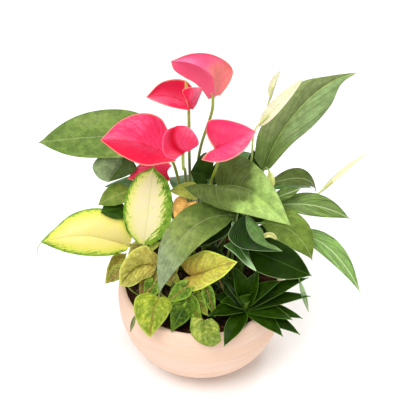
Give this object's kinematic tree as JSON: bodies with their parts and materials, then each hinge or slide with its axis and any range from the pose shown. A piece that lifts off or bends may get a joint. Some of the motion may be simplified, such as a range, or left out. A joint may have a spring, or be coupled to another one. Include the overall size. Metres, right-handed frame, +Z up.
{
  "type": "potted anthurium",
  "caption": "Mixed planting in a round clay bowl: an anthurium in flower with peace lily, dieffenbachia, arrowhead vine and compact dracaena round it.",
  "frame": {"origin": "centre of the bowl's foot, on the surface that it stands on", "axes": "+Z up out of the bowl, -Y towards the viewer of the arrangement, +X to the viewer's right"},
  "size_m": [0.4597, 0.3281, 0.5234],
  "materials": {
    "clay": "matte",
    "soil": "matte",
    "spathe_red": "gloss",
    "flower_stalk": "satin",
    "spadix": "satin",
    "anthurium_leaf": "satin",
    "lily_leaf": "satin",
    "lily_spathe": "satin",
    "lily_spike": "satin",
    "cane": "satin",
    "dieffenbachia_leaf": "satin",
    "arrowhead_leaf": "satin",
    "bronze_leaf": "satin",
    "dracaena_leaf": "gloss"
  },
  "bodies": {
    "root": {"anthurium_leaf_front": "anthurium_leaf", "anthurium_leaf_hanging": "anthurium_leaf", "anthurium_leaf_inner": "anthurium_leaf", "anthurium_leaf_left": "anthurium_leaf", "anthurium_leaf_small": "anthurium_leaf", "anthurium_leaf_under": "anthurium_leaf", "anthurium_leaves_back": "anthurium_leaf", "anthurium_spadix_centre": "spadix", "anthurium_spadix_left": "spadix", "anthurium_spadix_low_left": "spadix", "anthurium_spadix_right": "spadix", "anthurium_spadix_top": "spadix", "anthurium_spadix_upper_left": "spadix", "anthurium_spathe_centre": "spathe_red", "anthurium_spathe_left": "spathe_red", "anthurium_spathe_low_left": "spathe_red", "anthurium_spathe_right": "spathe_red", "anthurium_spathe_top": "spathe_red", "anthurium_spathe_upper_left": "spathe_red", "anthurium_stalk_centre": "flower_stalk", "anthurium_stalk_left": "flower_stalk", "anthurium_stalk_low_left": "flower_stalk", "anthurium_stalk_right": "flower_stalk", "anthurium_stalk_top": "flower_stalk", "anthurium_stalk_upper_left": "flower_stalk", "arrowhead_leaf_front": "arrowhead_leaf", "arrowhead_leaf_golden": "arrowhead_leaf", "arrowhead_leaf_inner": "arrowhead_leaf", "arrowhead_leaf_left": "arrowhead_leaf", "arrowhead_leaf_low": "arrowhead_leaf", "arrowhead_leaf_olive": "arrowhead_leaf", "arrowhead_leaf_rim": "arrowhead_leaf", "arrowhead_leaf_shade": "arrowhead_leaf", "arrowhead_leaf_tan": "arrowhead_leaf", "arrowhead_leaf_upright": "arrowhead_leaf", "bowl": "clay", "bronze_leaf": "bronze_leaf", "dieffenbachia_cane": "cane", "dieffenbachia_leaf_level": "dieffenbachia_leaf", "dieffenbachia_leaf_narrow": "dieffenbachia_leaf", "dieffenbachia_leaf_round": "dieffenbachia_leaf", "dieffenbachia_leaf_upright": "dieffenbachia_leaf", "dracaena_head": "dracaena_leaf", "lily_bud": "lily_spathe", "lily_leaf_dark": "lily_leaf", "lily_leaf_far_right": "lily_leaf", "lily_leaf_folded": "lily_leaf", "lily_leaf_front": "lily_leaf", "lily_leaf_low": "lily_leaf", "lily_leaf_olive": "lily_leaf", "lily_leaf_right": "lily_leaf", "lily_leaf_tall": "lily_leaf", "lily_leaves_back": "lily_leaf", "lily_spathe_back": "lily_spathe", "lily_spathe_left": "lily_spathe", "lily_spathe_right": "lily_spathe", "lily_spike_back": "lily_spike", "lily_spike_left": "lily_spike", "lily_spike_right": "lily_spike", "soil": "soil"}
  },
  "joints": []
}
